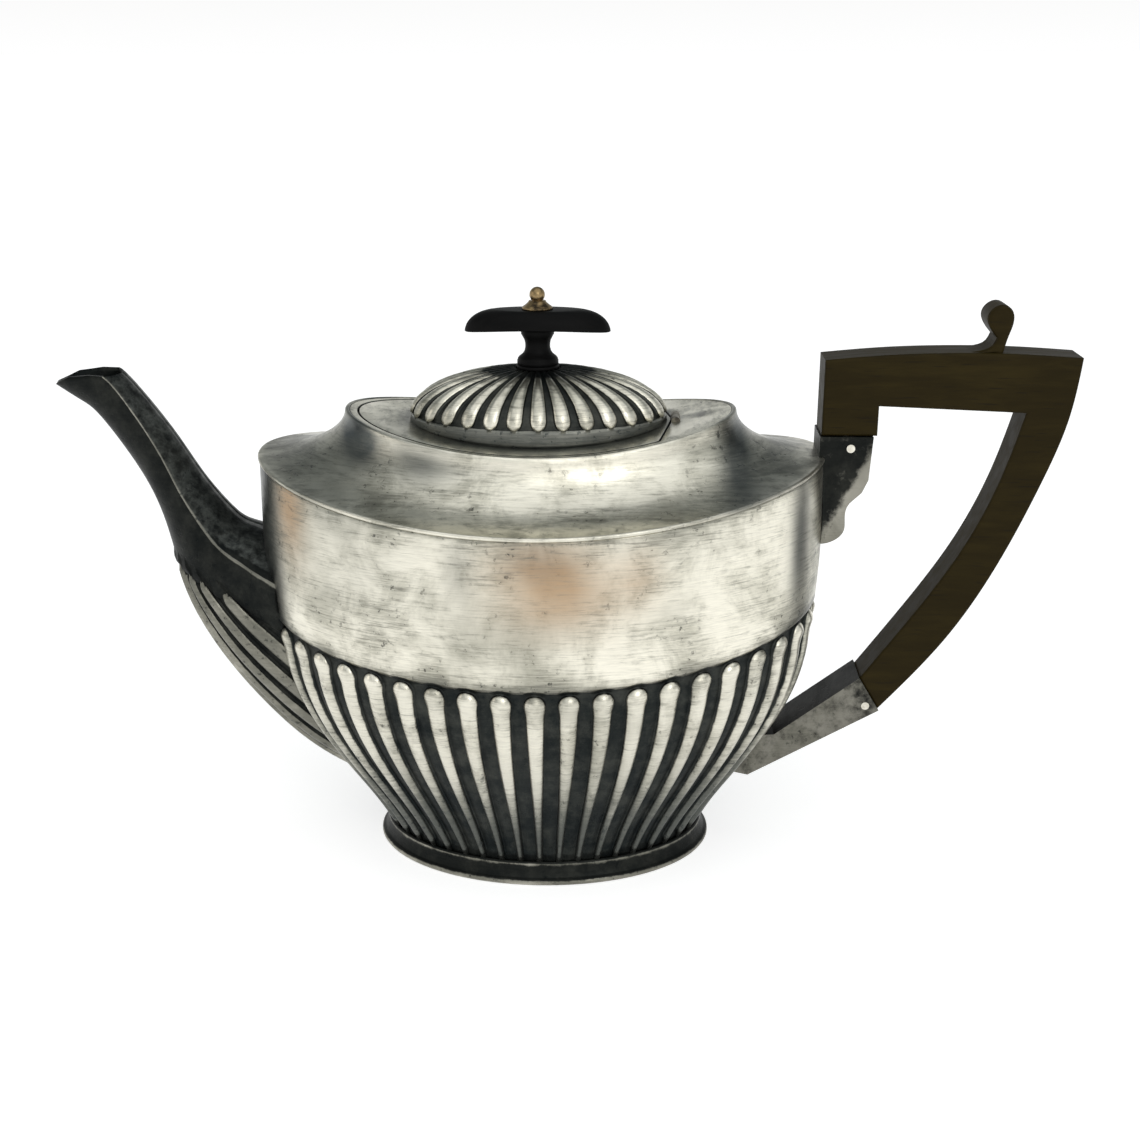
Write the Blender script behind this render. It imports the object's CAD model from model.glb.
import math

import bpy
import numpy as np
from mathutils import Matrix, Vector


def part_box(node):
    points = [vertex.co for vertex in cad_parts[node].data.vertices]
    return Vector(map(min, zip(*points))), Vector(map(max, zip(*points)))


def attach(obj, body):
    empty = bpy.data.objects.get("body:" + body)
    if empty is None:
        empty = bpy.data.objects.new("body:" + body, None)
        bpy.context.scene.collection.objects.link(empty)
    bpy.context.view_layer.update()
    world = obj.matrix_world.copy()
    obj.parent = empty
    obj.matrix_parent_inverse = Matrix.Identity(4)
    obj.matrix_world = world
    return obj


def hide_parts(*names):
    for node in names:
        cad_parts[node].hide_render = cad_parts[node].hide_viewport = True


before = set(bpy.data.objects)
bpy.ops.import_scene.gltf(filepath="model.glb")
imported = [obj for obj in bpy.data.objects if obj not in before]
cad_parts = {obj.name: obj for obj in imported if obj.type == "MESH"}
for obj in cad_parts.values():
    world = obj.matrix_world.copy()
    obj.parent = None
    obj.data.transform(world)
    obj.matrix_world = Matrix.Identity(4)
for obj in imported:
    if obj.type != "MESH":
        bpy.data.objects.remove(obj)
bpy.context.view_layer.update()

# The shapes are drawn in millimetres about the bowl's upright axis: X to the handle, Z up.
MM = 0.001
bowl_low, bowl_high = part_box("bowl")
BOWL_X = (bowl_low.x + bowl_high.x) / 2

# ------------------------------------------------------------------------------- sizes
SHEET = 1.2
BOWL_RINGS = np.array([
    (6.6, 46.5, 32.6), (14.5, 51.0, 35.4), (27.0, 59.6, 40.4), (43.4, 70.0, 46.6), (60.0, 76.0, 50.6),
    (76.0, 77.9, 51.8), (93.0, 78.8, 52.4), (108.0, 78.6, 52.3), (124.0, 78.2, 52.0),
])
SPACING_LENGTH, SPACING_WIDTH = 76.0, 50.6  # oval round which the flutes are evenly spaced
EDGE_MID, EDGE_RADIUS, EDGE_LENGTH, EDGE_WIDTH = 109.8, 337.0, 78.5, 52.2
TOP_MID, TOP_RADIUS, CREST_LENGTH, CREST_WIDTH = 125.0, 236.0, 54.0, 33.0
LID_X, LID_LENGTH, LID_WIDTH, LID_POINT, LID_SLANT, LID_GAP = -0.6, 49.6, 30.3, 36.3, 0.167, 0.4
LID_SHEET = 1.4
LID_HOLE_LENGTH, LID_HOLE_WIDTH = 32.0, 20.0  # half-axes of the lid plate's hole under the dome
DOME_X, DOME_LENGTH, DOME_WIDTH, DOME_SPRING, DOME_RISE = -0.5, 35.2, 22.5, 129.4, 12.9

FLUTES = 45  # lobes round the bowl
FLUTE_PHASE = 0.37
HEAD_MID = 66.0  # line of the lobes' rounded heads, a saddle like the shoulder's
HEAD_RADIUS_SPOUT, HEAD_RADIUS_HANDLE = 410.0, 290.0
LOBE_REACH = 60.0  # from the head line down to the bowl's lower rim
BAND_REACH = 44.0  # from the head line up to the bowl's sharp top edge
LOBE_HEIGHT = 0.30  # lobes stand this much proud of the plain band
VALLEY_DEPTH = 1.55
HEAD_RADIUS = 3.0  # radius of a lobe's rounded head
DOME_LOBES = 28
DOME_PHASE = 0.22
ARC_SAMPLES = 4000  # steps round an oval when its length is measured

# ------------------------------------------------------------------------ mesh helpers


def smoothstep(low, high, x):
    """From 0 at low to 1 at high, eased at both."""
    t = np.clip((x - low) / (high - low), 0.0, 1.0)
    return t * t * (3 - 2 * t)


def spline(xs, ys, x):
    """Natural cubic spline through the points."""
    xs, ys = np.asarray(xs, float), np.asarray(ys, float)
    n = len(xs)
    h = np.diff(xs)
    system = np.zeros((n, n))
    right = np.zeros(n)
    system[0, 0] = system[-1, -1] = 1
    for i in range(1, n - 1):
        system[i, i - 1], system[i, i], system[i, i + 1] = h[i - 1], 2 * (h[i - 1] + h[i]), h[i]
        right[i] = 6 * ((ys[i + 1] - ys[i]) / h[i] - (ys[i] - ys[i - 1]) / h[i - 1])
    m = np.linalg.solve(system, right)
    x = np.asarray(x, float)
    i = np.clip(np.searchsorted(xs, x) - 1, 0, n - 2)
    a, b, d = xs[i + 1] - x, x - xs[i], h[i]
    bend = (m[i] * a**3 + m[i + 1] * b**3) / (6 * d)
    return bend + (ys[i] / d - m[i] * d / 6) * a + (ys[i + 1] / d - m[i + 1] * d / 6) * b


def saddle(x, middle, radius):
    """Height of a line that dips to middle at the axis and rises to both ends."""
    return middle + radius - np.sqrt(radius**2 - np.asarray(x) ** 2)


def build(name, points, faces, material, body, values=None, smooth=True):
    """A mesh object from points in millimetres, with float attributes for its material."""
    points = np.asarray(points, float).reshape(-1, 3) * MM
    points[:, 0] += BOWL_X
    mesh = bpy.data.meshes.new(name)
    mesh.from_pydata(points.tolist(), [], [tuple(int(i) for i in f) for f in faces])
    for key, value in (values or {}).items():
        layer = mesh.attributes.new(key, "FLOAT", "POINT")
        layer.data.foreach_set("value", np.asarray(value, np.float32).ravel())
    mesh.validate()
    mesh.update()
    if smooth:
        mesh.shade_smooth()
    obj = bpy.data.objects.new(name, mesh)
    bpy.context.scene.collection.objects.link(obj)
    obj.data.materials.append(material)
    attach(obj, body)
    return obj


def grid_faces(rows, cols, wrap, start=0, flip=False):
    """Quads of a grid of points, closed round its columns if wrap is true."""
    i, j = np.meshgrid(np.arange(rows - 1), np.arange(cols if wrap else cols - 1), indexing="ij")
    k = (j + 1) % cols
    quads = np.stack([i * cols + j, i * cols + k, (i + 1) * cols + k, (i + 1) * cols + j], axis=-1)
    quads = quads.reshape(-1, 4) + start
    return quads[:, ::-1] if flip else quads


def grid_normals(p, wrap):
    """Unit normals of a grid of points, rows first."""
    if wrap:
        along = np.roll(p, -1, axis=1) - np.roll(p, 1, axis=1)
    else:
        along = np.gradient(p, axis=1)
    up = np.gradient(p, axis=0)
    n = np.cross(along, up)
    return n / np.maximum(np.linalg.norm(n, axis=-1, keepdims=True), 1e-9)


def shell(outer, inner, wrap=True):
    """Faces of a closed shell between two grids of the same shape."""
    rows, cols = outer.shape[:2]
    faces = [grid_faces(rows, cols, wrap), grid_faces(rows, cols, wrap, rows * cols, flip=True)]
    count = cols if wrap else cols - 1
    for row, turn in ((0, False), (rows - 1, True)):
        j = np.arange(count)
        k = (j + 1) % cols
        a, b = row * cols + j, row * cols + k
        c, d = b + rows * cols, a + rows * cols
        strip = np.stack([d, c, b, a], axis=-1)
        faces.append(strip[:, ::-1] if turn else strip)
    if not wrap:
        for col, turn in ((0, False), (cols - 1, True)):
            i = np.arange(rows - 1)
            a, b = i * cols + col, (i + 1) * cols + col
            c, d = b + rows * cols, a + rows * cols
            strip = np.stack([a, b, c, d], axis=-1)
            faces.append(strip[:, ::-1] if turn else strip)
    return np.concatenate([outer.reshape(-1, 3), inner.reshape(-1, 3)]), np.concatenate(faces)


def arc_table(a, b):
    """Angles round an ellipse, the fraction of its length at each, and its whole length."""
    t = np.linspace(-math.pi, math.pi, ARC_SAMPLES + 1)
    step = np.hypot(np.diff(a * np.cos(t)), np.diff(b * np.sin(t)))
    length = np.concatenate([[0], np.cumsum(step)])
    return t, length / length[-1], length[-1]


def oval_sweep(sections, angles):
    """Grid of points: a ring for each (half_length, half_width, z)."""
    rows = []
    for a, b, z in sections:
        rows.append(np.stack([a * np.cos(angles), b * np.sin(angles), np.full_like(angles, z)], axis=-1))
    return np.array(rows)


def closed_tube(grid):
    """Faces that close a grid whose rows run round a loop and whose columns run round the pot."""
    rows, cols = grid.shape[:2]
    i, j = np.meshgrid(np.arange(rows), np.arange(cols), indexing="ij")
    ii, jj = (i + 1) % rows, (j + 1) % cols
    quads = np.stack([i * cols + j, i * cols + jj, ii * cols + jj, ii * cols + j], axis=-1).reshape(-1, 4)
    return grid.reshape(-1, 3), quads


def capped(grid):
    """Faces that close a grid of rings with a fan at each end."""
    rows, cols = grid.shape[:2]
    points = np.concatenate([grid.reshape(-1, 3), [grid[0].mean(0)], [grid[-1].mean(0)]])
    faces = [tuple(f) for f in grid_faces(rows, cols, True)]
    for j in range(cols):
        k = (j + 1) % cols
        faces.append((rows * cols, k, j))
        faces.append((rows * cols + 1, (rows - 1) * cols + j, (rows - 1) * cols + k))
    return points, faces


def both_sides(layer, inside):
    """A value for each point of a shell: the layer's on its outside, one number on its inside."""
    return np.concatenate([layer.ravel(), np.full(layer.size, inside)])


# --------------------------------------------------------------------------- materials


class Nodes:
    """A short way to write a node tree."""

    def __init__(self, name):
        self.material = bpy.data.materials.new(name)
        self.material.use_nodes = True
        self.tree = self.material.node_tree
        self.tree.nodes.clear()
        self.output = self.add("ShaderNodeOutputMaterial")

    def add(self, kind, inputs=None, **settings):
        node = self.tree.nodes.new(kind)
        for key, value in settings.items():
            setattr(node, key, value)
        for key, value in (inputs or {}).items():
            self.put(node.inputs[key], value)
        return node

    def put(self, socket, value):
        if isinstance(value, bpy.types.NodeSocket):
            self.tree.links.new(value, socket)
        else:
            socket.default_value = value

    def math(self, operation, a, b):
        return self.add("ShaderNodeMath", {0: a, 1: b}, operation=operation).outputs[0]

    def mix(self, factor, a, b):
        node = self.add("ShaderNodeMix", data_type="RGBA")
        self.put(node.inputs[0], factor)
        self.put(node.inputs[6], a)
        self.put(node.inputs[7], b)
        return node.outputs[2]

    def ramp(self, value, low, high, to_low=0.0, to_high=1.0):
        """Eased from to_low to to_high as value goes from low to high."""
        node = self.add("ShaderNodeMapRange", interpolation_type="SMOOTHSTEP")
        for place, item in enumerate((value, low, high, to_low, to_high)):
            self.put(node.inputs[place], item)
        return node.outputs[0]

    def noise(self, vector, scale, detail=4.0, rough=0.55, distortion=0.0):
        node = self.add("ShaderNodeTexNoise", {"Vector": vector, "Scale": scale, "Detail": detail,
                                               "Roughness": rough, "Distortion": distortion})
        return node.outputs["Fac"]

    def coordinates(self, scale=(1, 1, 1)):
        """Object coordinates in metres, stretched by scale."""
        source = self.add("ShaderNodeTexCoord").outputs["Object"]
        return self.add("ShaderNodeMapping", {"Vector": source, "Scale": scale}).outputs[0]

    def place(self, obj_low):
        """Object coordinates in millimetres from a corner of the object, as X and Z."""
        split = self.add("ShaderNodeSeparateXYZ", {0: self.add("ShaderNodeTexCoord").outputs["Object"]})
        x = self.math("MULTIPLY", self.math("SUBTRACT", split.outputs[0], obj_low[0]), 1000.0)
        z = self.math("MULTIPLY", self.math("SUBTRACT", split.outputs[2], obj_low[2]), 1000.0)
        return x, z

    def attribute(self, name):
        return self.add("ShaderNodeAttribute", attribute_name=name).outputs["Fac"]

    def bump(self, height, strength, distance, normal=None):
        node = self.add("ShaderNodeBump", {"Height": height, "Strength": strength, "Distance": distance})
        if normal is not None:
            self.put(node.inputs["Normal"], normal)
        return node.outputs[0]

    def surface(self, **inputs):
        shader = self.add("ShaderNodeBsdfPrincipled")
        for key, value in inputs.items():
            self.put(shader.inputs[key.replace("_", " ")], value)
        self.tree.links.new(shader.outputs[0], self.output.inputs[0])
        return self.material


def rgb(r, g, b):
    return (r, g, b, 1.0)


def shaded(shade, *colours):
    """Each colour, darkened by shade."""
    return [rgb(r * shade, g * shade, b * shade) for r, g, b in colours]


def silver(name, patina=None, shade=1.0, rough=0.28):
    """Worn silver plate, finely brushed along the pot. Vertex attributes say where it is black (tarnish),
    dirty (grime), browned (warm) and clouded (dull); patina gives the black of a piece without them."""
    n = Nodes(name)
    at = n.coordinates()
    brush = n.noise(n.coordinates((170, 170, 2700)), 1.0, 4.0, 0.68)
    streaks = n.noise(n.coordinates((75, 75, 1150)), 1.0, 5.0, 0.70)
    cloud = n.noise(at, 62.0, 7.0, 0.66, 0.4)
    wide = n.noise(at, 24.0, 4.0, 0.55, 0.2)
    speck = n.noise(at, 560.0, 3.0, 0.7)
    soil = n.attribute("grime") if patina is None else 0.30
    soiled = n.math("MULTIPLY", soil, 0.26)
    light, middle, low = shaded(shade, (0.91, 0.875, 0.755), (0.56, 0.54, 0.45), (0.27, 0.265, 0.215))
    colour = n.mix(n.ramp(n.math("ADD", cloud, soiled), 0.44, 0.70, 0.0, 0.85), light, middle)
    colour = n.mix(n.ramp(n.math("ADD", wide, soiled), 0.52, 0.78, 0.0, 0.60), colour, low)
    colour = n.mix(n.math("MULTIPLY", n.attribute("warm"), 0.92), colour, rgb(0.42, 0.275, 0.155))
    uneven = n.math("ADD", n.math("MULTIPLY", cloud, 0.45), n.math("MULTIPLY", soil, 0.20))
    lines = n.math("ADD", n.math("MULTIPLY", streaks, 0.55), n.math("MULTIPLY", brush, 0.45))
    lines = n.ramp(n.math("ADD", lines, uneven), 0.74, 0.98, 0.0, 0.75)
    colour = n.mix(lines, colour, rgb(0.15, 0.148, 0.122))
    colour = n.mix(n.ramp(brush, 0.30, 0.70, 0.0, 0.22), colour, rgb(0.30, 0.29, 0.24))
    pits = n.math("MULTIPLY", n.ramp(speck, 0.58, 0.68), n.ramp(n.math("ADD", cloud, soiled), 0.52, 0.68))
    colour = n.mix(n.math("MULTIPLY", pits, 0.8), colour, rgb(0.035, 0.036, 0.032))
    dirt = n.ramp(n.math("ADD", soil, n.math("SUBTRACT", cloud, 0.5)), 0.35, 1.0)
    colour = n.mix(n.math("MULTIPLY", dirt, 0.62), colour, rgb(0.085, 0.088, 0.078))
    clouded = n.math("MULTIPLY", n.attribute("dull"), n.ramp(cloud, 0.2, 0.8, 1.0, 0.72))
    colour = n.mix(clouded, colour, rgb(0.045, 0.056, 0.060))
    raw = n.attribute("tarnish") if patina is None else patina(n)
    rough_edge = n.math("SUBTRACT", n.noise(at, 300.0, 5.0, 0.68), 0.5)
    broken = n.math("ADD", raw, n.math("MULTIPLY", rough_edge, 0.8))
    black = n.math("MULTIPLY", n.ramp(broken, 0.26, 0.62), n.ramp(raw, 0.02, 0.14))
    deep, dusty = shaded(shade, (0.008, 0.0115, 0.0125), (0.044, 0.047, 0.042))
    dark = n.mix(n.ramp(n.noise(at, 120.0, 6.0, 0.7), 0.38, 0.72), deep, dusty)
    colour = n.mix(n.math("MULTIPLY", black, 0.97), colour, dark)
    roughness = n.ramp(black, 0.0, 1.0, rough, 0.44)
    roughness = n.math("ADD", roughness, n.ramp(cloud, 0.35, 0.75, 0.0, 0.14))
    normal = n.bump(brush, 0.22, 0.0002)
    normal = n.bump(streaks, 0.16, 0.0004, normal)
    normal = n.bump(cloud, 0.14, 0.0010, normal)
    normal = n.bump(pits, 0.35, -0.0002, normal)
    return n.surface(Base_Color=colour, Metallic=0.96, Roughness=roughness, Normal=normal)


def dark_wood(name, base, light, gloss, specular):
    """Dark wood with its grain along X."""
    n = Nodes(name)
    grain = n.noise(n.coordinates((45, 420, 300)), 1.0, 5.0, 0.62, 0.35)
    pores = n.noise(n.coordinates((90, 1600, 1600)), 1.0, 2.0, 0.5)
    blotch = n.noise(n.coordinates(), 30.0, 4.0, 0.55)
    colour = n.mix(n.ramp(grain, 0.35, 0.75), base, light)
    colour = n.mix(n.ramp(blotch, 0.40, 0.70, 0.0, 0.5), colour, base)
    colour = n.mix(n.ramp(pores, 0.60, 0.72, 0.0, 0.5), colour, rgb(0.006, 0.005, 0.004))
    normal = n.bump(grain, 0.10, 0.0003)
    normal = n.bump(pores, 0.12, 0.0002, normal)
    roughness = n.ramp(grain, 0.3, 0.8, gloss, gloss + 0.14)
    return n.surface(Base_Color=colour, Roughness=roughness, Normal=normal, Specular_IOR_Level=specular)


def plain_metal(name, base, dark, rough):
    """Metal of one colour, clouded with a darker one."""
    n = Nodes(name)
    at = n.coordinates()
    cloud = n.noise(at, 300.0, 4.0, 0.6)
    fine = n.noise(at, 1500.0, 2.0, 0.6)
    colour = n.mix(n.ramp(cloud, 0.40, 0.65), base, dark)
    normal = n.bump(fine, 0.12, 0.0002)
    roughness = n.ramp(cloud, 0.3, 0.7, rough, rough + 0.2)
    return n.surface(Base_Color=colour, Metallic=1.0, Roughness=roughness, Normal=normal)


def local_low(node):
    """The lowest X, Y and Z of a CAD node's mesh, in its own coordinates."""
    return np.array([v.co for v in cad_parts[node].data.vertices]).min(axis=0).tolist()


def upper_patina(n):
    """Black, but worn bright along the tapering outer edge and at the tail."""
    x, z = n.place(local_low("socket_upper"))
    toward = n.math("SUBTRACT", n.math("MULTIPLY", x, 0.885), n.math("MULTIPLY", z, 0.465))
    return n.ramp(toward, 0.6, 5.0, 0.66, 0.10)


def lower_patina(n):
    """Black on its upper facet and round the mouth, worn grey along the side."""
    x, z = n.place(local_low("socket_lower"))
    normal = n.add("ShaderNodeNewGeometry").outputs["Normal"]
    facing = n.add("ShaderNodeSeparateXYZ", {0: normal}).outputs[2]
    side = n.ramp(n.math("ADD", x, n.math("MULTIPLY", z, 0.6)), 40.0, 60.0, 0.33, 0.52)
    return n.math("MAXIMUM", side, n.ramp(facing, 0.35, 0.7, 0.0, 0.85))


SILVER = silver("silver_plate")
SPOUT_SILVER = silver("spout_silver", shade=0.50, rough=0.34)
SOCKET_DARK = silver("socket_blackened", upper_patina, shade=0.40, rough=0.38)
SOCKET_WORN = silver("socket_worn", lower_patina, shade=0.24, rough=0.40)
INNER_SILVER = plain_metal("inner_silver", rgb(0.30, 0.28, 0.23), rgb(0.10, 0.09, 0.075), 0.42)
WOOD = dark_wood("handle_wood", rgb(0.0165, 0.0115, 0.0027), rgb(0.0265, 0.019, 0.0048), 0.44, 0.06)
EBONY = dark_wood("ebonised_wood", rgb(0.0022, 0.0022, 0.0023), rgb(0.0048, 0.0047, 0.0046), 0.45, 0.07)
BRASS = plain_metal("dark_brass", rgb(0.30, 0.215, 0.11), rgb(0.035, 0.027, 0.018), 0.30)
PIN = plain_metal("bright_pin", rgb(0.80, 0.77, 0.68), rgb(0.55, 0.52, 0.44), 0.30)


def spot(x, z, mid_x, mid_z, size_x, size_z):
    """A soft patch, 1 in the middle and 0 well away from it."""
    return np.exp(-(((x - mid_x) / size_x) ** 2) - ((z - mid_z) / size_z) ** 2)


# ------------------------------------------------------------------------ fluted relief
LOBE_STEPS = np.array([-1, -0.94, -0.80, -0.45, 0, 0.45, 0.80, 0.94, 1])
VALLEY_STEPS = np.array([0.10, 0.30, 0.50, 0.70, 0.90])


def lobe_half_width(depth, shaft):
    """Half-width of a lobe at each depth below the top of its head; shaft is its own half-width."""
    head = np.sqrt(np.clip(HEAD_RADIUS**2 - (depth - HEAD_RADIUS) ** 2, 0, None))
    neck = shaft + (HEAD_RADIUS - shaft) * (1 - smoothstep(0, 3.5, depth - HEAD_RADIUS))
    return np.where(depth < HEAD_RADIUS, head, neck)


def lobe_relief(across, depth, shaft, pitch):
    """At a distance across a lobe and below its head: height above the plain sheet, how tarnished it is,
    and how far up the lobe it stands, from 0 to 1."""
    width = np.maximum(lobe_half_width(depth, shaft), 1e-3)
    to_head = np.hypot(across, depth - HEAD_RADIUS)
    reach = np.where(depth < HEAD_RADIUS, (to_head / HEAD_RADIUS) ** 2, (across / width) ** 2)
    bulge = np.where(depth > 0, np.clip(1 - reach, 0, 1) ** 0.46, 0)
    middle = 0.30 * np.exp(-(((np.abs(across) - pitch / 2) / (0.16 * pitch)) ** 2))
    floor = (-VALLEY_DEPTH + middle * smoothstep(1, 6, depth)) * smoothstep(-2.4, 0.6, depth)
    crest = LOBE_HEIGHT + 0.34 * np.exp(-(((depth - 2.3) / 2.0) ** 2))
    crest = crest - 0.20 * np.exp(-(((depth - 6.8) / 2.4) ** 2))
    relief = floor + (crest - floor) * bulge
    halo = smoothstep(2.9, 0.3, np.where(depth < HEAD_RADIUS, to_head - HEAD_RADIUS, 9.0))
    dark = np.maximum(halo, smoothstep(-1.9, 0.9, depth))
    return relief, dark * (1 - smoothstep(0.22, 0.50, bulge)), bulge


def lobe_columns(lobe_width, pitch):
    """Distances across one flute, from the left edge of its lobe to the end of the valley after it."""
    lobe = LOBE_STEPS * lobe_width
    valley = lobe_width + VALLEY_STEPS * (pitch - 2 * lobe_width)
    return np.concatenate([lobe, valley])


def round_oval(offsets, pitch, count, phase, fraction, angle_of):
    """Every flute's columns round an oval: their angles, and how far each is from the nearest lobe."""
    places = (np.arange(count)[:, None] + phase + offsets / pitch).ravel() / count % 1.0
    across = np.tile(np.where(offsets > pitch / 2, offsets - pitch, offsets), count)
    return np.interp(places, fraction, angle_of), across


# ------------------------------------------------------------------------------- bowl


def bowl_radii(z):
    """Half-length and half-width of the bowl at a height."""
    return spline(BOWL_RINGS[:, 0], BOWL_RINGS[:, 1], z), spline(BOWL_RINGS[:, 0], BOWL_RINGS[:, 2], z)


def head_line(x):
    """Height of the tops of the lobes' heads."""
    return np.where(x < 0, saddle(x, HEAD_MID, HEAD_RADIUS_SPOUT), saddle(x, HEAD_MID, HEAD_RADIUS_HANDLE))


def bowl_wear(x, z, turn, depth, bulge):
    """Grime, warmth and dullness of the bowl's skin."""
    band = smoothstep(1.0, -4.0, depth)
    ends = smoothstep(0.80, 0.97, np.abs(np.cos(turn)))
    soil = 0.10 + 0.55 * smoothstep(-7.0, -1.5, depth) + 0.45 * smoothstep(-41.5, -BAND_REACH, depth)
    soil = (soil + 0.30 * ends) * (1 - 0.85 * bulge) + 0.95 * smoothstep(22.0, 58.0, depth)
    warm = spot(x, z, 8, 94, 15, 9) + 0.75 * spot(x, z, 3, 104, 13, 6) + 0.5 * spot(x, z, 28, 99, 6, 7)
    warm = np.clip(warm + spot(x, z, -65, 111, 5, 14), 0, 1) * band
    dull = 0.90 * smoothstep(-66.0, -74.0, x) + 0.88 * spot(x, z, 70.6, 100, 2.6, 19)
    dull = dull + 0.24 * spot(x, z, -46, 100, 17, 22)
    dull = dull + 0.42 * spot(x, z, -18, 101, 4, 9) + 0.30 * spot(x, z, -50, 116, 8, 5)
    dull = (dull + 0.42 * spot(x, z, 2, 105, 11, 4) + 0.22 * spot(x, z, 36, 108, 20, 4)) * band
    dull = dull + 0.16 * smoothstep(-1.0, 4.0, depth) + 0.42 * smoothstep(14.0, 58.0, depth)
    return np.clip(soil, 0, 1), warm, dull


def make_bowl():
    """The bowl: lobes below the head line, a plain band above it."""
    angle_of, fraction, length = arc_table(SPACING_LENGTH, SPACING_WIDTH)
    rim = BOWL_RINGS[0, 0]
    heads = [6.6, 5.4, 4.4, 3.6, 2.9, 2.3, 1.7, 1.2, 0.8, 0.45, 0.2, 0.05]
    below = np.concatenate([np.linspace(LOBE_REACH, 8.0, 24), heads])
    above = [-0.3, -0.8, -1.3, -1.8, -2.4, -3.2, -4.5, -8, -13, -19, -25, -31, -37, -42.5, -43.6, -BAND_REACH]
    grid, layers = [], []
    for depth in np.concatenate([below, above]):
        pitch = length / FLUTES * np.interp(max(depth, 0), [0, 20, 45, LOBE_REACH], [1.0, 0.93, 0.75, 0.62])
        shaft = np.interp(depth, [0, 10, 25, 40, 60], [2.65, 2.42, 1.95, 1.45, 0.95])
        edge = max(float(lobe_half_width(np.array(depth), shaft)), 1.0) if depth > 0 else 1.0
        t, across = round_oval(lobe_columns(edge, pitch), pitch, FLUTES, FLUTE_PHASE, fraction, angle_of)
        head_z = head_line(SPACING_LENGTH * np.cos(t))
        top_z = saddle(EDGE_LENGTH * np.cos(t), EDGE_MID - SHEET, EDGE_RADIUS)
        if depth >= 0:
            straight = head_z - depth
            even = head_z - depth / LOBE_REACH * (head_z - rim)
            z = straight + smoothstep(8, 16, depth) * (even - straight)
        else:
            z = head_z - depth / BAND_REACH * (top_z - head_z)
        a, b = bowl_radii(z)
        grid.append(np.stack([a * np.cos(t), b * np.sin(t), z], axis=-1))
        relief, dark, bulge = lobe_relief(across, np.full_like(across, depth), shaft, pitch)
        relief = relief * (0.35 + 0.65 * smoothstep(LOBE_REACH, 57.5, depth))
        soil, warm, dull = bowl_wear(a * np.cos(t), z, t, depth, bulge)
        layers.append(np.stack([relief, dark, soil, warm, dull], axis=-1))
    base, layers = np.array(grid), np.array(layers)
    normal = grid_normals(base, True)
    outer = base + normal * layers[..., :1]
    inner = base + normal * (np.minimum(layers[..., :1], 0) * 0.9 - SHEET)
    points, faces = shell(outer, inner)
    obj = build("bowl_fluted", points, faces, SILVER, "pot", {
        "tarnish": both_sides(layers[..., 1], 0.3),
        "grime": both_sides(layers[..., 2], 0.3),
        "warm": both_sides(layers[..., 3], 0.0),
        "dull": both_sides(layers[..., 4], 0.0),
    })
    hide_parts("bowl")


make_bowl()

# --------------------------------------------------------------- shoulder and flush top
ROUND = 288  # points round the plain ovals


def make_shoulder():
    """The hollow sheet that rises from the bowl's sharp edge to the flush top."""
    t = np.linspace(-math.pi, math.pi, ROUND, endpoint=False)
    crest = np.stack([CREST_LENGTH * np.cos(t), CREST_WIDTH * np.sin(t)], axis=-1)
    edge = np.stack([EDGE_LENGTH * np.cos(t), EDGE_WIDTH * np.sin(t)], axis=-1)
    crest_z = saddle(crest[:, 0], TOP_MID, TOP_RADIUS)
    edge_z = saddle(edge[:, 0], EDGE_MID, EDGE_RADIUS)
    out = edge - crest
    width = np.linalg.norm(out, axis=1)
    outward = out / width[:, None]
    drop = crest_z - edge_z
    rows = []

    def ring(away, height):
        """A ring of the section: away is outward from the sharp edge."""
        rows.append(np.concatenate([edge + outward * away[:, None], height[:, None]], axis=1))

    for turn in np.radians(np.concatenate([[2, 7], np.linspace(12, 86, 22), [88.5]])):
        ring(-width * np.cos(turn), crest_z - drop * np.sin(turn))
    for away, down in ((-0.25, -0.03), (0.10, 0.10), (0.28, 0.35), (0.25, 0.75), (0.0, SHEET)):
        ring(np.full_like(width, away), edge_z - down)
    for turn in np.radians(np.linspace(84, 8, 16)):
        ring(-(width + SHEET) * np.cos(turn), crest_z - (drop + SHEET) * np.sin(turn))
    ring(-(width + SHEET), crest_z - 0.3)
    ring(-(width + SHEET) + 0.15, crest_z - 0.05)
    ring(-(width + SHEET * 0.5), crest_z + 0.03)
    ring(-(width + 0.25), crest_z - 0.05)
    grid = np.array(rows)
    points, faces = closed_tube(grid)
    ends = smoothstep(0.80, 0.98, np.abs(np.cos(t))) * 0.30
    soil = np.zeros(grid.shape[:2]) + 0.16 + ends[None, :]
    soil[14:24] += 0.16  # the foot of the hollow, beside the sharp edge
    x, down = grid[..., 0], crest_z[None, :] - grid[..., 2]
    dull = 1.5 * spot(x, down, -48, 3.5, 6.5, 5) + 0.75 * spot(x, down, -30, 5, 10, 4.5)
    dull = dull + 1.1 * spot(x, down, 53.5, 6, 5, 9)
    dull = dull + 0.40 * spot(x, down, -60, 11, 12, 5) + 0.45 * spot(x, down, 62, 13, 9, 5)
    dull = dull + 0.32 * spot(x, down, 25, 13, 32, 3)
    obj = build("shoulder_raised", points, faces[:, ::-1], SILVER, "pot", {
        "tarnish": np.zeros(grid.shape[:2]),
        "grime": np.clip(soil, 0, 1),
        "dull": np.clip(dull, 0, 1),
    })
    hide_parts("shoulder")


make_shoulder()


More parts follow.
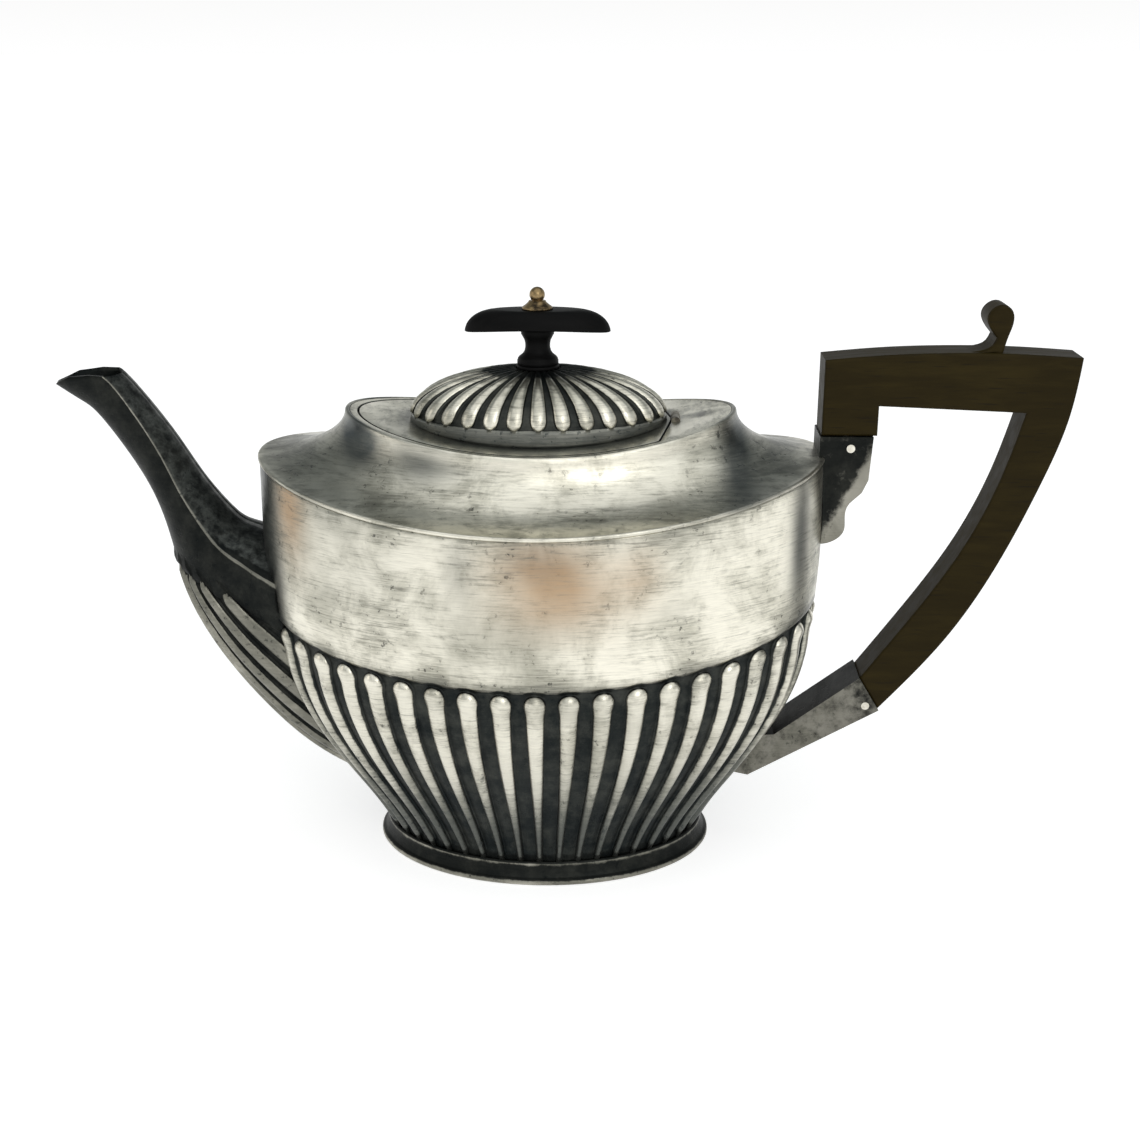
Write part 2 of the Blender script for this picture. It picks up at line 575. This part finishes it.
def lid_outline(grow, count):
    """Points round the lid's oval with its shallow V, evenly spread."""
    a, b = LID_LENGTH + grow, LID_WIDTH + grow
    t = np.linspace(0, 2 * math.pi, 2400, endpoint=False)
    x, y = LID_X + a * np.cos(t), b * np.sin(t)
    x = np.minimum(x, LID_POINT + grow - LID_SLANT * np.abs(y))
    step = np.hypot(np.diff(x, append=x[:1]), np.diff(y, append=y[:1]))
    length = np.concatenate([[0], np.cumsum(step)])
    want = np.linspace(0, length[-1], count, endpoint=False)
    xs = np.interp(want, length, np.append(x, x[0]))
    ys = np.interp(want, length, np.append(y, y[0]))
    return np.stack([xs, ys], axis=-1)


def rounded_plate(inner, outer, thickness, edge):
    """Rings of a flat ring plate with eased edges: (outline, height below the top surface)."""
    lift = outer - inner
    unit = lift / np.maximum(np.linalg.norm(lift, axis=1, keepdims=True), 1e-6)
    rings = []
    for share in (0.0, 0.25, 0.5, 0.75, 1.0):
        rings.append((inner + unit * edge + (lift - 2 * unit * edge) * share, 0.0))
    rings.append((outer - unit * edge * 0.3, edge * 0.25))
    rings.append((outer, edge))
    rings.append((outer, thickness - edge))
    rings.append((outer - unit * edge, thickness))
    rings.append((inner + unit * edge, thickness))
    rings.append((inner, thickness - edge))
    rings.append((inner, edge))
    rings.append((inner + unit * edge * 0.3, edge * 0.25))
    return rings


def make_top_ring(name, inner, outer, body, node):
    """A plate of the flush top, between two outlines."""
    rows, sides = [], []
    for outline, down in rounded_plate(inner, outer, LID_SHEET, 0.22):
        sides.append(np.full(len(outline), 0.95 if down > 0 else 0.0))
        z = saddle(outline[:, 0], TOP_MID, TOP_RADIUS) - down
        rows.append(np.concatenate([outline, z[:, None]], axis=1))
    points, faces = closed_tube(np.array(rows))
    from_dome = np.hypot((points[:, 0] - DOME_X) / DOME_LENGTH, points[:, 1] / DOME_WIDTH) - 1
    soil = 0.12 + 0.75 * smoothstep(0.26, 0.04, from_dome)
    solder = 0.8 * smoothstep(5.0, 1.5, np.hypot((points[:, 0] - 43.5) * 0.7, points[:, 1]))
    soil = np.maximum(soil, solder)
    front = 0.75 * smoothstep(12.0, 24.0, np.abs(points[:, 1])) * smoothstep(0.34, 0.05, from_dome)
    obj = build(name, points, faces, SILVER, body,
                {"tarnish": np.concatenate(sides), "grime": soil, "dull": front})
    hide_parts(node)


def make_top_plate():
    inner = lid_outline(LID_GAP, ROUND)
    a, b = CREST_LENGTH - SHEET, CREST_WIDTH - SHEET
    angle = np.arctan2(inner[:, 1] / b, inner[:, 0] / a)
    outer = np.stack([a * np.cos(angle), b * np.sin(angle)], axis=-1)
    make_top_ring("top_border", inner, outer, "pot", "top_plate")


def make_lid_plate():
    outer = lid_outline(0.0, ROUND)
    a, b = LID_HOLE_LENGTH, LID_HOLE_WIDTH
    angle = np.arctan2(outer[:, 1] / b, (outer[:, 0] - DOME_X) / a)
    inner = np.stack([DOME_X + a * np.cos(angle), b * np.sin(angle)], axis=-1)
    make_top_ring("lid_flush_plate", inner, outer, "lid", "lid_plate")


make_top_plate()
make_lid_plate()


# -------------------------------------------------------------------------------- dome


def make_dome():
    """The lid's dome: a plain skirt, then lobes that run up towards the knob."""
    angle_of, fraction, length = arc_table(DOME_LENGTH, DOME_WIDTH)
    whole = length / DOME_LOBES
    # Rings of the skirt: how far it stands out, its share of the skirt's height, depth below the heads.
    skirt = [(0.35, 0.0, -9.0), (0.38, 0.22, -7.0), (0.22, 0.55, -5.0), (0.10, 0.82, -3.0), (0.0, 1.0, -0.9)]
    rings = [(*ring, 0.0) for ring in skirt]
    for turn in np.radians([1.2, 2.4, 4, 6, 8.5, 11.5, 15, 19, 24, 29, 35, 41, 47, 53, 59, 65, 70, 75, 79.5]):
        rings.append((0.0, None, 13.2 * turn if turn < 0.25 else 3.3 + (turn - 0.25) * 25.0, turn))
    rows, layers = [], []
    for grow, share, depth, turn in rings:
        scale = math.cos(turn)
        pitch = whole * scale
        widest = 0.36 * pitch
        head = min(2.2, widest)
        edge = widest if depth > head else head * math.sqrt(max(1 - (1 - max(depth, 0) / head) ** 2, 0.08))
        t, across = round_oval(lobe_columns(edge, pitch), pitch, DOME_LOBES, DOME_PHASE, fraction, angle_of)
        x = DOME_X + (DOME_LENGTH * scale + grow) * np.cos(t)
        y = (DOME_WIDTH * scale + grow) * np.sin(t)
        if share is None:
            z = np.full_like(t, DOME_SPRING + DOME_RISE * math.sin(turn))
            bulge = np.clip(1 - (across / edge) ** 2, 0, 1) ** 0.45
        else:
            foot = saddle(x, TOP_MID, TOP_RADIUS) - 0.3
            z = foot + share * (DOME_SPRING - foot)
            bulge = np.zeros_like(t)
        thin = min(1.0, scale * 1.5)
        floor = -0.95 * smoothstep(-1.2, 0.5, depth) * thin
        relief = floor + (0.40 * thin - floor) * bulge
        dark = smoothstep(-1.6, 0.5, depth) * (1 - smoothstep(0.30, 0.66, bulge))
        dark = np.maximum(dark, 0.9 * smoothstep(0.52, 0.36, scale))
        dirt = 0.30 + 0.30 * smoothstep(-0.5, -4.0, depth) + 0.4 * smoothstep(0.75, 0.45, scale)
        soil = np.full_like(t, dirt)
        dull = np.full_like(t, 0.80 * smoothstep(0.2, -0.8, depth))
        rows.append(np.stack([x, y, z], axis=-1))
        layers.append(np.stack([relief, dark, soil, dull], axis=-1))
    base, layers = np.array(rows), np.array(layers)
    normal = grid_normals(base, True)
    outer = base + normal * layers[..., :1]
    inner = base + normal * (np.minimum(layers[..., :1], 0) * 0.9 - 0.9)
    points, faces = shell(outer, inner)
    obj = build("dome_lobed", points, faces, SILVER, "lid", {
        "tarnish": both_sides(layers[..., 1], 0.3),
        "grime": both_sides(layers[..., 2], 0.3),
        "dull": both_sides(layers[..., 3], 0.0),
    })
    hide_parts("lid_dome")


make_dome()

# ------------------------------------------------------------------------------- knob
KNOB_BORE = 1.3  # radius of the hole for the screw


def turned(name, profile, material, node, sides=96):
    """A piece of the lid turned about the knob's axis from (radius, z) points."""
    t = np.linspace(-math.pi, math.pi, sides, endpoint=False)
    points, faces = capped(oval_sweep([(r, r, z) for r, z in profile], t) + np.array([DOME_X, 0.0, 0.0]))
    obj = build(name, points, faces, material, "lid")
    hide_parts(node)


def make_knob_disc():
    """The oval disc: arched underneath, round-edged, flat on top."""
    ends, top, flat, half_length, half_width = 151.7, 157.95, 10.8, 19.9, 7.5
    t = np.linspace(-math.pi, math.pi, 120, endpoint=False)
    turns = np.radians(np.linspace(4, 90, 16))
    # (radius along X, share of the disc's height)
    profile = [(KNOB_BORE, 0.0), (5.0, 0.0), (12.0, 0.0), (18.6, 0.0), (19.6, 0.02), (19.88, 0.05)]
    profile += [(flat + (half_length - flat) * math.cos(a), math.sin(a)) for a in turns]
    profile += [(6.0, 1.0), (KNOB_BORE, 1.0)]
    rings = []
    for r, height in profile:
        x, y = r * np.cos(t), r * half_width / half_length * np.sin(t)
        arch = ends + 1.35 * (1 - (x / half_length) ** 2)
        rings.append(np.stack([DOME_X + x, y, arch + height * (top - arch)], axis=-1))
    points, faces = capped(np.array(rings))
    disc = build("knob_oval_disc", points, faces, EBONY, "lid")
    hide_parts("knob_disc")


def make_knob():
    foot = [(KNOB_BORE, 141.9), (5.7, 141.9), (5.85, 142.1), (5.85, 142.8), (5.7, 142.98), (KNOB_BORE, 143.0)]
    turned("knob_foot_ring", foot, EBONY, "knob_collar")
    stem = [(KNOB_BORE, 143.0), (5.45, 143.0), (5.65, 143.2), (5.65, 144.1), (5.45, 144.4), (5.5, 144.6),
            (5.1, 145.1), (4.2, 145.8), (3.65, 146.6), (3.4, 147.6), (3.4, 148.6), (3.6, 149.6), (4.1, 150.6),
            (4.5, 151.3), (4.55, 152.0), (4.5, 152.95), (KNOB_BORE, 152.95)]
    turned("knob_baluster", stem, EBONY, "knob_stem")
    make_knob_disc()
    cup = [(KNOB_BORE, 157.9), (4.0, 157.9), (4.2, 158.1), (4.15, 158.5), (3.3, 159.1), (2.5, 159.8),
           (2.3, 160.2), (KNOB_BORE, 160.25)]
    turned("knob_cup_washer", cup, BRASS, "knob_washer")
    ball = [(2.1 * math.sin(a), 161.8 - 2.1 * math.cos(a)) for a in np.radians(np.linspace(42, 178, 20))]
    nut = [(1.2, 160.1), (1.75, 160.15), *ball]
    turned("knob_ball_nut", nut, BRASS, "knob_finial", sides=48)


make_knob()

# --------------------------------------------------------------------------------- foot
FOOT_LENGTH, FOOT_WIDTH = 49.0, 34.4


def make_foot():
    t = np.linspace(-math.pi, math.pi, ROUND, endpoint=False)
    # (distance out from the foot's oval, height), round the section
    profile = [(-1.8, 0.0), (-0.7, 0.0), (0.1, 0.25), (0.45, 0.8), (0.4, 1.4), (0.0, 1.9), (-0.5, 2.1),
               (-0.75, 2.4), (-1.1, 3.2), (-1.5, 4.2), (-1.75, 5.2), (-1.7, 5.9), (-1.9, 6.4), (-2.4, 6.6),
               (-5.5, 6.6), (-5.6, 6.2), (-5.5, 5.5), (-3.9, 5.4), (-3.3, 4.6), (-2.7, 3.0), (-2.1, 1.2)]
    rows = oval_sweep([(FOOT_LENGTH + r, FOOT_WIDTH + r, z) for r, z in profile], t)
    dark = [0.6, 0.5, 0.3, 0.12, 0.3, 0.75, 0.95, 0.8, 0.85, 0.95, 0.6, 0.35, 0.9] + [1.0] * 8
    points, faces = closed_tube(rows)
    obj = build("foot_flared", points, faces, SPOUT_SILVER, "pot",
                {"tarnish": np.repeat(dark, ROUND), "grime": np.full(len(points), 0.55)})
    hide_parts("foot_ring")


make_foot()

# -------------------------------------------------------------------------------- spout
# From the mouth to inside the bowl: the seam below (x, z), the seam above (x, z), the half-width,
# and how far the rounded top stands over the crease.
STATIONS = np.array([
    (-139.6, 140.0, -130.6, 151.6, 6.8, 2.1), (-134.7, 136.3, -125.6, 147.2, 6.6, 1.9),
    (-128.3, 132.0, -119.0, 142.1, 6.6, 1.9), (-123.0, 127.1, -113.0, 136.2, 6.9, 2.5),
    (-114.5, 114.1, -103.1, 122.4, 7.9, 3.8), (-109.1, 102.4, -95.7, 110.1, 9.2, 5.2),
    (-106.3, 91.0, -88.0, 100.1, 11.2, 6.3), (-103.2, 77.0, -83.6, 96.8, 13.6, 6.6),
    (-97.4, 63.3, -79.0, 95.1, 16.2, 6.8), (-87.3, 48.0, -74.1, 93.3, 18.7, 7.4),
    (-73.0, 32.0, -67.6, 90.0, 20.3, 8.6), (-60.0, 22.6, -58.0, 82.0, 20.2, 12.0),
    (-49.0, 17.0, -47.0, 74.0, 19.0, 14.0),
])
MOUTH_X, MOUTH_Z = [-137.5, -130.2, -124.0, -112.0], [135.4, 139.2, 140.1, 139.7]
SPOUT_LOBES = 7.5  # lobes from the underside seam to the crease
SPOUT_LOBE_SHARE = 0.34  # half-width of a lobe, as a share of its pitch
SPOUT_HEAD_X, SPOUT_HEAD_Z, SPOUT_HEAD_FALL = -78.9, 75.8, 0.37  # line of the spout lobes' heads


def spout_point(s, phi):
    """A point of the spout's skin: s runs over the stations, phi 0 seam below, 1 crease, 2 seam above."""
    k = np.arange(len(STATIONS))
    low_x, low_z, top_x, top_z, width, crown = (spline(k, STATIONS[:, i], s) for i in range(6))
    up_x, up_z = top_x - low_x, top_z - low_z
    size = np.hypot(up_x, up_z)
    up_x, up_z = up_x / size, up_z / size
    belly = size - crown
    turn = np.clip(phi, 0, 1) * math.pi / 2
    y = np.where(phi < 1, width * np.sin(turn), width * (2 - phi))
    over = crown * (1 - np.clip(2 - phi, 0, 1) ** 2)
    v = np.where(phi < 1, -belly * np.cos(turn), over)
    centre_x, centre_z = top_x - up_x * crown, top_z - up_z * crown
    return np.stack([centre_x + up_x * v, -y, centre_z + up_z * v], axis=-1)


def crossing(value, s):
    """For each column, the s at which value first rises above zero, or the last s if it never does."""
    first = np.where((value > 0).any(axis=0), np.argmax(value > 0, axis=0), len(s) - 1)
    first = np.clip(first, 1, len(s) - 1)
    cols = np.arange(value.shape[1])
    a, b = value[first - 1, cols], value[first, cols]
    return s[first - 1] + (s[first] - s[first - 1]) * np.clip(-a / np.where(b == a, 1, b - a), 0, 1)


def make_spout(side, name, node):
    """Half of the spout; side is -1 for the near half and 1 for the far one."""
    pitch_phi = 1.0 / SPOUT_LOBES
    centres = (np.arange(int(SPOUT_LOBES)) + 0.5) * pitch_phi
    s_all = np.linspace(0, len(STATIONS) - 1, 500)
    share = SPOUT_LOBE_SHARE
    columns = [0.0]
    for centre in centres:
        columns += list(centre + LOBE_STEPS * share * pitch_phi)
        if centre != centres[-1]:
            columns += list(centre + (share + VALLEY_STEPS * (1 - 2 * share)) * pitch_phi)
    columns += list(np.linspace(columns[-1], 0.985, 6)[1:])
    columns += [0.995, 1.0, 1.008, 1.03, 1.12, 1.3, 1.5, 1.7, 1.85, 2.0]
    phi = np.array(columns)
    skin = spout_point(s_all[:, None] + 0 * phi[None, :], phi[None, :] + 0 * s_all[:, None])
    s_mouth = crossing(np.interp(skin[..., 0], MOUTH_X, MOUTH_Z) - skin[..., 2], s_all)
    a, b = bowl_radii(np.clip(skin[..., 2], 7, 120))
    inside = 1.0 - np.sqrt((skin[..., 0] / (a - 0.5)) ** 2 + (skin[..., 1] / (b - 0.5)) ** 2)
    s_root = crossing(inside, s_all)
    under_heads = SPOUT_HEAD_Z - SPOUT_HEAD_FALL * (skin[..., 0] - SPOUT_HEAD_X) - skin[..., 2]
    s_head = crossing(under_heads, s_all)
    edges = (centres[:, None] + np.array([-1, 1]) * share * pitch_phi).ravel()
    s_head = np.interp(phi, edges, np.repeat(np.interp(centres, phi, s_head), 2))
    s_head = np.minimum(s_head, s_root - 0.02)
    shares_up = np.linspace(0, 1, 34)
    shares_down = [0.012, 0.03, 0.055, 0.085, 0.12, 0.165, 0.22, 0.29, *np.linspace(0.36, 1.0, 20)]
    rows = [s_mouth + (s_head - s_mouth) * q for q in shares_up]
    rows += [s_head + (s_root - s_head) * q for q in shares_down]
    s = np.array(rows)
    base = spout_point(s, phi[None, :] + 0 * s)
    step = np.linalg.norm(np.diff(base, axis=0), axis=-1)
    along = np.concatenate([np.zeros((1, len(phi))), np.cumsum(step, axis=0)])
    depth = along - along[len(shares_up) - 1]
    nearest = centres[np.argmin(np.abs(phi[:, None] - centres[None, :]), axis=1)]
    lower = phi <= 1.0
    girth = np.linalg.norm(np.diff(base[:, lower], axis=1), axis=-1).sum(axis=1)
    across = (phi - nearest)[None, :] * girth[:, None]
    shaft = share * pitch_phi * girth[:, None] + 0 * across
    head_r = np.minimum(2.8, shaft)
    reach = (across / shaft) ** 2
    near_head = (across**2 + (np.clip(depth, 0, None) - head_r) ** 2) / head_r**2
    bulge = np.where(depth > 0, np.clip(1 - np.where(depth < head_r, near_head, reach), 0, 1) ** 0.45, 0)
    live = smoothstep(0.99, 0.955, phi)[None, :]
    border = 0.55 * smoothstep(-3.4, -2.6, depth) * smoothstep(0.4, -0.8, depth)
    floor = (-1.25 * smoothstep(-0.6, 0.8, depth) + border) * live
    relief = floor + (0.45 * live - floor) * bulge
    flank = (phi < 0.995)[None, :]
    dark = np.where(flank, 1.05, 0.46) * np.ones_like(depth)
    dark = np.where(bulge > 0.3, dark * (1 - smoothstep(0.3, 0.66, bulge) * 0.97), dark)
    crease = np.exp(-(((phi - 1.0) / 0.02) ** 2))[None, :]
    dark = dark * (1 - 0.85 * crease)
    groove = np.exp(-(((phi - 1.035) / 0.02) ** 2))[None, :] * smoothstep(0.55, 0.9, s / (s_root + 1e-6))
    dark = np.clip(dark + 0.7 * groove, 0, 1)
    dull = np.where(flank, 0.0, 0.82) * np.ones_like(depth) * (1 - 0.8 * crease)
    normal = -grid_normals(base, False)
    outer = base + normal * relief[..., None]
    inner = base + normal * (np.minimum(relief, 0) * 0.9 - SHEET)[..., None]
    outer[:, 0, 1] = outer[:, -1, 1] = inner[:, 0, 1] = inner[:, -1, 1] = 0.0
    points, faces = shell(outer, inner, wrap=False)
    faces = faces[:, ::-1]
    if side > 0:
        points = points * np.array([1, -1, 1])
        faces = faces[:, ::-1]
    obj = build(name, points, faces, SPOUT_SILVER, "pot", {
        "tarnish": both_sides(dark, 1.2),
        "grime": both_sides(np.full_like(depth, 0.55), 0.6),
        "dull": both_sides(dull, 0.6),
    })
    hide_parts(node)


make_spout(-1, "spout_near", "spout_near_half")
make_spout(1, "spout_far", "spout_far_half")

# ------------------------------------------------------------------- handle and sockets


def curve_points(anchors, count):
    """Points along a smooth curve through the anchors."""
    anchors = np.array(anchors, float)
    steps = np.concatenate([[0], np.cumsum(np.linalg.norm(np.diff(anchors, axis=0), axis=1))])
    want = np.linspace(0, steps[-1], count)
    return np.stack([spline(steps, anchors[:, 0], want), spline(steps, anchors[:, 1], want)], axis=-1)


def slab(name, outline, half, bevel):
    """A wooden board of the pot from an XZ outline, its long edges eased."""
    outline = np.array(outline, float)
    after = np.roll(outline, -1, axis=0)
    d1 = outline - np.roll(outline, 1, axis=0)
    d2 = after - outline
    d1 /= np.maximum(np.linalg.norm(d1, axis=1, keepdims=True), 1e-9)
    d2 /= np.maximum(np.linalg.norm(d2, axis=1, keepdims=True), 1e-9)
    n1 = np.stack([d1[:, 1], -d1[:, 0]], axis=-1)
    n2 = np.stack([d2[:, 1], -d2[:, 0]], axis=-1)
    n = n1 + n2
    n /= np.maximum(np.linalg.norm(n, axis=1, keepdims=True), 1e-9)
    cosine = np.clip((n * n1).sum(1, keepdims=True), 0.35, 1)
    area = 0.5 * np.sum(outline[:, 0] * after[:, 1] - after[:, 0] * outline[:, 1])
    inward = -n / cosine * (1 if area > 0 else -1)
    rings = []
    for inset, y in ((bevel, -half), (bevel * 0.3, -half + bevel * 0.3), (0, -half + bevel),
                     (0, half - bevel), (bevel * 0.3, half - bevel * 0.3), (bevel, half)):
        p = outline + inward * inset
        rings.append(np.stack([p[:, 0], np.full(len(p), y), p[:, 1]], axis=-1))
    grid = np.array(rings)
    rows, cols = grid.shape[:2]
    faces = [tuple(f) for f in grid_faces(rows, cols, True)]
    faces.append(tuple(range(cols))[::-1])
    faces.append(tuple(range((rows - 1) * cols, rows * cols)))
    if area > 0:
        faces = [f[::-1] for f in faces]
    return build(name, grid.reshape(-1, 3), faces, WOOD, "pot", smooth=False)


def make_handle():
    """The board, which ends across the mouth of the lower socket, and its thumb-piece."""
    across = np.array([6.1, -10.1]) / math.hypot(6.1, 10.1)
    mouth = np.array([94.4, 48.6])
    heel, throat = mouth + across * 5.7, mouth - across * 5.4
    start, corner = 76.9, (145.0, 146.4)
    top = curve_points([(start, 145.5), (94, 147.0), (112, 147.6), (128, 147.4), corner], 34)
    outer = curve_points([corner, (142.9, 130.0), (137.4, 112.1), (128.7, 90.6), (115.6, 66.6), heel], 60)
    inner = curve_points([throat, (104.6, 71.8), (117.3, 92.2), (126.2, 113.0), (131.3, 131.4)], 50)
    outline = [*top, *outer[1:], *inner, (92.0, 133.0), (92.0, 124.8), (start, 124.8)]
    obj = slab("handle_board", outline, 6.2, 0.55)
    scroll = curve_points([(111.0, 147.2), (117.5, 147.9), (120.8, 149.2), (122.0, 151.5)], 12)
    head = curve_points([(122.0, 151.5), (119.9, 154.2), (119.1, 156.9), (120.6, 159.4), (123.2, 160.2),
                         (125.6, 158.6), (126.1, 155.6), (125.1, 151.9), (123.9, 146.4)], 44)
    thumb = slab("handle_scroll", [*scroll, *head[1:], (111.0, 146.4)], 5.0, 0.9)
    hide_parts("handle")
    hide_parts("handle")


make_handle()


def keep_cad(node, material):
    """Give a CAD node that is kept as it is its material."""
    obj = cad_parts[node]
    obj.data.materials.clear()
    obj.data.materials.append(material)


keep_cad("socket_upper", SOCKET_DARK)
keep_cad("socket_lower", SOCKET_WORN)
for node in ("base_plate", "lid_seat", "lid_flange", "hinge_body_leaf", "hinge_lid_leaf", "hinge_pin"):
    keep_cad(node, INNER_SILVER)
for node in ("handle_pin_upper", "handle_pin_lower"):
    keep_cad(node, PIN)
for node in ("knob_screw", "knob_nut"):
    keep_cad(node, BRASS)

# ---------------------------------------------------------------- floor, light, camera
POT_MIDDLE = (0, 0, 0.08)
CAMERA_PLACE = (26.502648, -397.541786, 224.62585)  # millimetres, X from the bowl's axis
CAMERA_TURN, CAMERA_DIP, CAMERA_ROLL = 0.0463, 0.3393, 0.0038  # radians
CAMERA_LENS, CAMERA_SENSOR = 46.46043158, 36.0


def make_floor():
    mesh = bpy.data.meshes.new("floor")
    half = 60.0  # metres
    corners = [(-half, -half, 0), (half, -half, 0), (half, half, 0), (-half, half, 0)]
    mesh.from_pydata(corners, [], [(0, 1, 2, 3)])
    floor = bpy.data.objects.new("floor", mesh)
    bpy.context.scene.collection.objects.link(floor)
    white = Nodes("floor_white").surface(Base_Color=rgb(0.64, 0.64, 0.64), Roughness=0.9, Specular_IOR_Level=0.0,
                                         Emission_Color=rgb(1, 1, 1), Emission_Strength=0.66)
    floor.data.materials.append(white)


def area_light(name, place, size, power, colour):
    """A rectangular light aimed at the middle of the pot."""
    data = bpy.data.lights.new(name, "AREA")
    data.shape, data.size, data.size_y = "RECTANGLE", size[0], size[1]
    data.energy, data.color = power, colour
    light = bpy.data.objects.new(name, data)
    bpy.context.scene.collection.objects.link(light)
    light.location = place
    light.rotation_euler = (Vector(POT_MIDDLE) - Vector(place)).to_track_quat("-Z", "Y").to_euler()


def sun_light(name, toward, strength, spread):
    """A broad soft light from a direction, spread over an angle in degrees."""
    data = bpy.data.lights.new(name, "SUN")
    data.energy, data.angle = strength, math.radians(spread)
    light = bpy.data.objects.new(name, data)
    bpy.context.scene.collection.objects.link(light)
    light.rotation_euler = Vector(toward).to_track_quat("Z", "Y").to_euler()


def make_world():
    """A dim studio round a white horizon."""
    world = bpy.data.worlds.new("studio")
    bpy.context.scene.world = world
    world.use_nodes = True
    tree = world.node_tree
    source = tree.nodes.new("ShaderNodeTexCoord")
    split = tree.nodes.new("ShaderNodeSeparateXYZ")
    ramp = tree.nodes.new("ShaderNodeValToRGB")
    tree.links.new(source.outputs["Generated"], split.inputs[0])
    tree.links.new(split.outputs["Z"], ramp.inputs[0])
    tree.links.new(ramp.outputs[0], tree.nodes["Background"].inputs[0])
    stops = [(0.0, (1.0, 1.0, 1.0)), (0.10, (0.88, 0.88, 0.87)), (0.32, (0.58, 0.60, 0.60)),
             (0.65, (0.20, 0.225, 0.23)), (1.0, (0.26, 0.28, 0.28))]
    ramp.color_ramp.elements[1].position = 1.0
    for place, colour in stops[1:-1]:
        ramp.color_ramp.elements.new(place)
    for element, (place, colour) in zip(ramp.color_ramp.elements, stops):
        element.position = place
        element.color = (*colour, 1.0)
    tree.nodes["Background"].inputs[1].default_value = 1.0


make_floor()
make_world()
sun_light("window", (0.12, -0.42, 0.90), 1.15, 88)
area_light("front", (0.35, -1.1, 0.75), (0.5, 0.7), 2.2, (1.0, 0.98, 0.95))
area_light("side", (-1.1, -0.3, 0.6), (0.35, 0.6), 0.8, (1.0, 0.93, 0.86))

camera_data = bpy.data.cameras.new("camera")
camera = bpy.data.objects.new("camera", camera_data)
bpy.context.scene.collection.objects.link(camera)
bpy.context.scene.camera = camera
camera.location = (CAMERA_PLACE[0] * MM + BOWL_X, CAMERA_PLACE[1] * MM, CAMERA_PLACE[2] * MM)
aim = Matrix.Rotation(CAMERA_TURN, 3, "Z") @ Matrix.Rotation(math.pi / 2 - CAMERA_DIP, 3, "X")
camera.rotation_euler = (aim @ Matrix.Rotation(-CAMERA_ROLL, 3, "Z")).to_euler()
camera_data.sensor_width = CAMERA_SENSOR
camera_data.lens = CAMERA_LENS
camera_data.clip_start = 0.01
bpy.context.scene.view_settings.view_transform = "Standard"
